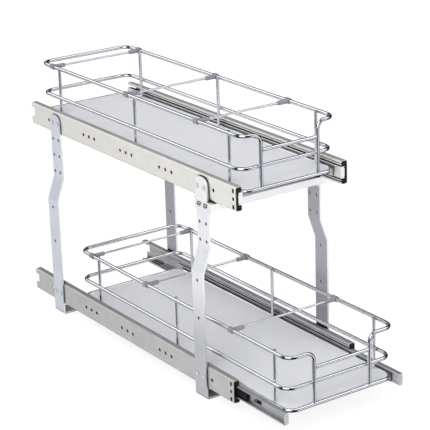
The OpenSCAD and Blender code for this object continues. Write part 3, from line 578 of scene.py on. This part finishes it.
stop_finish = moulded_plastic("black acetal", deep=(0.007, 0.007, 0.008, 1), pale=(0.018, 0.018, 0.020, 1),
                              grain=2600.0, rough=(0.42, 0.62), distance=0.00006, specular=0.22)
lug_shapes = []
for tier in TIERS:
    channel = np.array(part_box(f"{tier}_right_outer_member"))
    slide_z = (channel[0, 2] + channel[1, 2]) / 2
    web_x = channel[1, 0]
    for rise, half_height in LUGS:
        centres = [(side * (web_x - LUG_BASE), channel[0, 1] + LUG_IN, slide_z + rise) for side in (-1, 1)]
        lug_shapes.append(rounded_blocks(centres, (LUG_BASE + LUG_PROUD, LUG_HALF_Y, half_height)))
    runner = np.array(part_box(f"{tier}_right_inner_member"))
    window_y = runner[0, 1] + WINDOW_IN + WINDOW_LEN / 2
    centres = [(side * (runner[0, 0] - COVER_DEPTH), window_y, slide_z) for side in (-1, 1)]
    reach = (COVER_DEPTH / 2, WINDOW_LEN / 2, WINDOW_H / 2 - COVER_CLEAR)
    covers = new_piece(f"{tier}_window_covers", *rounded_blocks(centres, reach), stop_finish)
    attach(covers, f"{tier}_basket")
lugs = new_piece("mouth_stop_lugs", *gathered(*lug_shapes), stop_finish)
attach(lugs, "frame")
dress(stop_finish, "mouth_stops", "upper_middle_stops", "lower_middle_stops",
      *[f"{tier}_{side}_release_lever" for tier in TIERS for side in SIDES])

# ---------------------------------------------------------------- basket wires
# Each basket is a cage of drawn steel wire, bent, butt or spot welded and then chromed all over.
# The chrome is deep and bright, a little blue, with the slow waviness of the wire under it.
WIRE_NODES = ("base_frame", "middle_rail", "top_rail", "front_wire", "hoops", "floor_wires", "cross_ties")
CHROME_DEEP = (0.80, 0.815, 0.855, 1)
CHROME_PALE = (0.94, 0.945, 0.965, 1)
CHROME_ROUGH = (0.11, 0.20)
WAVE_SCALE = 190.0
SPECK_SCALE = 1300.0
FACET_ROUND = 0.0010
WAVE_STRENGTH = 0.12
WAVE_HEIGHT = 0.00008
chrome_finish, chrome_tree, chrome_shader = new_finish("wire chrome")
chrome_place = put(chrome_tree, "ShaderNodeTexCoord").outputs["Object"]
chrome_waves = noise(chrome_tree, chrome_place, WAVE_SCALE, detail=2.0)
chrome_specks = noise(chrome_tree, chrome_place, SPECK_SCALE, detail=3.0)
chrome_round = put(chrome_tree, "ShaderNodeBevel", {"samples": 6}, Radius=FACET_ROUND).outputs[0]
fill(chrome_tree, chrome_shader,
     Base_Color=mixed(chrome_tree, chrome_waves, CHROME_DEEP, CHROME_PALE),
     Roughness=ranged(chrome_tree, chrome_specks, (0.0, 1.0), CHROME_ROUGH),
     Normal=bumped(chrome_tree, chrome_waves, WAVE_STRENGTH, WAVE_HEIGHT, Normal=chrome_round),
     Metallic=1.0)
dress(chrome_finish, *[f"{tier}_{name}" for tier in TIERS for name in WIRE_NODES])

# ---------------------------------------------------------------- weld marks
# Where a wire is spot welded to another, the joint leaves a small flattened bead that the chrome
# covers more thinly. Beads stand at the floor wires' ends and where the hoops cross the rails.
FLOOR_PITCH = 0.021
FLOOR_FIRST_IN = 0.019
COUNT_SLACK = 1e-6
HOOP_FRONT_IN = 0.0334
HOOP_MID_BACK = 0.00555
HOOP_REAR_IN = 0.042
RAIL_R = 0.0025
HOOP_CLEAR = 0.00525
FLOOR_BEAD = (0.0016, 0.0017, 0.0014)
HOOP_BEAD = (0.0013, 0.0023, 0.0021)


def beads(centres, reach, rounds=8, rows=5):
    """Ellipsoids: each point is the bead's centre plus its reach times the sphere's (angle, height)."""
    turn = np.linspace(0, 2 * np.pi, rounds, endpoint=False)[None, :]
    lift = np.linspace(-np.pi / 2, np.pi / 2, rows + 1)[:, None]
    sphere = np.stack([np.cos(lift) * np.cos(turn), np.cos(lift) * np.sin(turn),
                       np.sin(lift) + 0 * turn], axis=-1).reshape(-1, 3)
    return repeated(sphere * np.asarray(reach), grid_faces(rows + 1, rounds), centres)


bead_finish = grained_metal("thin chrome on weld", scale=1800.0, detail=3.0, deep=(0.16, 0.16, 0.18, 1),
                            pale=(0.58, 0.59, 0.62, 1), rough=(0.22, 0.45), strength=0.5,
                            distance=0.0001, metallic=1.0)
HOOP_Y = {}
for tier in TIERS:
    base = np.array(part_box(f"{tier}_base_frame"))
    middle = np.array(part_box(f"{tier}_middle_rail"))
    top = np.array(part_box(f"{tier}_top_rail"))
    inner_x = base[1, 0] - 2 * RAIL_R
    front_y = base[0, 1] + RAIL_R
    rear_y = base[1, 1] - RAIL_R
    middle_y = (front_y + rear_y) / 2
    hoop_y = np.array([front_y + HOOP_FRONT_IN, middle_y + HOOP_MID_BACK, rear_y - HOOP_REAR_IN])
    HOOP_Y[tier] = hoop_y
    floor_y = np.arange(front_y + FLOOR_FIRST_IN, rear_y - FLOOR_FIRST_IN + COUNT_SLACK, FLOOR_PITCH)
    floor_y = floor_y[np.abs(floor_y[:, None] - hoop_y).min(axis=1) >= HOOP_CLEAR]
    base_z = (base[0, 2] + base[1, 2]) / 2
    rail_z = (base_z, (middle[0, 2] + middle[1, 2]) / 2, top[1, 2] - RAIL_R)
    floor_places = [(side * inner_x, y, base_z) for side in (-1, 1) for y in floor_y]
    hoop_places = [(side * inner_x, y, z) for side in (-1, 1) for y in hoop_y for z in rail_z]
    weld_shape = gathered(beads(floor_places, FLOOR_BEAD), beads(hoop_places, HOOP_BEAD))
    welds = new_piece(f"{tier}_weld_marks", *weld_shape, bead_finish, smooth_angle=80)
    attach(welds, f"{tier}_basket")

# ---------------------------------------------------------------- liners
# A pale, slightly clear plastic mat lies on each basket's floor wires. It is extruded with fine
# ribs that run across the basket, then cut with rounded corners and notches round the hoops.
RIB_PITCH = 0.0030
RIB_DEPTH = 0.0005
LINER_CORNER_R = 0.010
LINER_CLEAR = 0.0004
NOTCH_HALF = 0.0026
NOTCH_IN = 0.0042
MAT_MILKY = (0.91, 0.91, 0.94, 1)
MAT_PALE = (0.98, 0.98, 0.995, 1)
# Painted shade in the rib valleys.
MAT_VALLEY_SHADE = (0.62, 0.63, 0.67, 1)
MAT_ROUGH = (0.32, 0.48)
MAT_CLEAR_SHARE = 0.08


def ribbed_mat(low, high, notch_y, steps=8, columns=9):
    """Rows along y: the mat's half width narrows in a quarter circle at each end and steps in round
    each hoop, and its top is the full height less half the rib's depth times (1 + cos(2 pi y / pitch)).
    Its underside is flat. Each point's rib depth, from 0 to 1, comes with it."""
    rows = int(round((high[1] - low[1]) / RIB_PITCH)) * steps + 1
    y = np.linspace(low[1], high[1], rows)
    half = (high[0] - low[0]) / 2
    inset = np.clip(LINER_CORNER_R - np.minimum(y - low[1], high[1] - y), 0, LINER_CORNER_R)
    width = half - LINER_CORNER_R + np.sqrt(LINER_CORNER_R ** 2 - inset ** 2)
    beside = np.abs(y[:, None] - np.asarray(notch_y)).min(axis=1) < NOTCH_HALF
    width = np.where(beside, half - NOTCH_IN, width)
    across = np.linspace(-1, 1, columns)
    x = width[:, None] * np.concatenate([across, across[::-1]])[None, :]
    valley = (1 + np.cos(2 * np.pi * (y - low[1]) / RIB_PITCH)) / 2
    z = np.concatenate([np.repeat((high[2] - RIB_DEPTH * valley)[:, None], columns, 1),
                        np.full((rows, columns), low[2])], axis=1)
    points = np.stack([x, y[:, None] + 0 * x, z], axis=-1).reshape(-1, 3)
    depth = np.concatenate([np.repeat(valley[:, None], columns, 1), np.zeros((rows, columns))], axis=1)
    front_end = list(range(2 * columns))
    rear_end = [(rows - 1) * 2 * columns + k for k in front_end]
    return points, grid_faces(rows, 2 * columns).tolist() + [front_end[::-1], rear_end], depth.ravel()


liner_finish, liner_tree, liner_shader = new_finish("ribbed mat")
liner_place = put(liner_tree, "ShaderNodeTexCoord").outputs["Object"]
liner_cloud = noise(liner_tree, liner_place, scale=35.0, detail=4.0)
liner_grain = noise(liner_tree, liner_place, scale=1700.0, detail=2.0)
liner_crest = mixed(liner_tree, liner_cloud, MAT_MILKY, MAT_PALE)
liner_depth = put(liner_tree, "ShaderNodeAttribute", {"attribute_name": "rib_depth"}).outputs["Fac"]
# Painted shade: the rib valleys are painted darker.
fill(liner_tree, liner_shader, Base_Color=mixed(liner_tree, liner_depth, liner_crest, MAT_VALLEY_SHADE),
     Roughness=ranged(liner_tree, liner_grain, (0.0, 1.0), MAT_ROUGH),
     Normal=bumped(liner_tree, liner_grain, strength=0.2, distance=0.00005),
     Transmission_Weight=MAT_CLEAR_SHARE, IOR=1.4)
for tier in TIERS:
    low, high = np.array(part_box(f"{tier}_liner"))
    rim = np.array(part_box(f"{tier}_base_frame"))
    low[:2] = rim[0, :2] + 2 * RAIL_R + LINER_CLEAR
    high[:2] = rim[1, :2] - 2 * RAIL_R - LINER_CLEAR
    mat_points, mat_faces, rib_depth = ribbed_mat(low, high, HOOP_Y[tier])
    # The points stay unmerged, so that each keeps its own rib depth.
    mat = new_piece(f"{tier}_ribbed_mat", mat_points, mat_faces, liner_finish, smooth_angle=70, merge=False)
    mat.data.attributes.new("rib_depth", "FLOAT", "POINT").data.foreach_set("value", rib_depth)
    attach(mat, f"{tier}_basket")
    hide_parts(f"{tier}_liner")

# ---------------------------------------------------------------- tie clips
# The ends of the cross ties sit in moulded grey plastic clips: a short ring snapped round the top
# rail and a long sleeve over the tie, tapered a little so that it leaves the mould.
CLIP_R = 0.004
CLIP_BORE_R = 0.00252
CLIP_AHEAD = 0.0030
CLIP_BACK = 0.0055
CLIP_ROUND = 0.0005
CLIP_NEAR_CORNER = 0.3 * CLIP_ROUND
SLEEVE_R = 0.00325
SLEEVE_LEN = 0.018
SLEEVE_START = 0.0028
SLEEVE_COLLAR = 0.0042
SLEEVE_STEP = 0.0052
SLEEVE_END = SLEEVE_LEN - 0.0008
SLEEVE_ROUND = SLEEVE_LEN - 0.0002
SLEEVE_MOUTH = SLEEVE_LEN - 0.0006
SLEEVE_STEP_SHARE = 0.96
SLEEVE_END_SHARE = 0.90
SLEEVE_ROUND_SHARE = 0.84
SLEEVE_FACE_SHARE = 0.74
TIE_R = 0.0015
START_BORE_R = TIE_R + 0.0001
FACE_BORE_R = TIE_R + 0.0002
MOUTH_BORE_R = TIE_R + 0.00002
TIE_Y = {"upper": (-0.153, 0.012, 0.2085), "lower": (-0.233, -0.034, 0.1075)}


def turned(profile, axis, ring=32):
    """A closed profile of (along, radius) pairs carried round the axis x or y, as a smooth ring."""
    along, radius = np.asarray(profile).T[:, :, None]
    turn = np.linspace(0, 2 * np.pi, ring, endpoint=False)[None, :]
    one, other = radius * np.cos(turn), radius * np.sin(turn)
    along = along + 0 * one
    order = (along, one, other) if axis == "x" else (one, along, other)
    return np.stack(order, axis=-1).reshape(-1, 3), grid_faces(len(profile), ring, close_rows=True)


ring_profile = [(-CLIP_AHEAD + CLIP_ROUND, CLIP_BORE_R), (-CLIP_AHEAD, CLIP_BORE_R + CLIP_ROUND),
                (-CLIP_AHEAD, CLIP_R - CLIP_ROUND),
                (-CLIP_AHEAD + CLIP_NEAR_CORNER, CLIP_R - CLIP_NEAR_CORNER),
                (-CLIP_AHEAD + CLIP_ROUND, CLIP_R), (CLIP_BACK - CLIP_ROUND, CLIP_R),
                (CLIP_BACK - CLIP_NEAR_CORNER, CLIP_R - CLIP_NEAR_CORNER),
                (CLIP_BACK, CLIP_R - CLIP_ROUND), (CLIP_BACK, CLIP_BORE_R + CLIP_ROUND),
                (CLIP_BACK - CLIP_ROUND, CLIP_BORE_R)]
sleeve_profile = [(SLEEVE_START, START_BORE_R), (SLEEVE_START, SLEEVE_R), (SLEEVE_COLLAR, SLEEVE_R),
                  (SLEEVE_STEP, SLEEVE_R * SLEEVE_STEP_SHARE), (SLEEVE_END, SLEEVE_R * SLEEVE_END_SHARE),
                  (SLEEVE_ROUND, SLEEVE_R * SLEEVE_ROUND_SHARE), (SLEEVE_LEN, SLEEVE_R * SLEEVE_FACE_SHARE),
                  (SLEEVE_LEN, FACE_BORE_R), (SLEEVE_MOUTH, MOUTH_BORE_R)]
clip_finish = moulded_plastic("grey clip plastic", deep=(0.235, 0.228, 0.255, 1),
                              pale=(0.315, 0.305, 0.335, 1), grain=1900.0, rough=(0.42, 0.60),
                              distance=0.00008)
sleeve_points, sleeve_faces = turned(sleeve_profile, "x")
clip_points, clip_faces = gathered(turned(ring_profile, "y"), (sleeve_points * mirrored, sleeve_faces))
for tier in TIERS:
    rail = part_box(f"{tier}_top_rail")
    rail_x = rail[1][0] - RAIL_R
    clip_z = rail[1][2] - RAIL_R
    right_clips = repeated(clip_points, clip_faces, [(rail_x, y, clip_z) for y in TIE_Y[tier]])
    left_clips = repeated(clip_points * mirrored, clip_faces, [(-rail_x, y, clip_z) for y in TIE_Y[tier]])
    clips = new_piece(f"{tier}_moulded_clips", *gathered(right_clips, left_clips), clip_finish,
                      smooth_angle=35)
    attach(clips, f"{tier}_basket")
    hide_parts(f"{tier}_tie_clips")
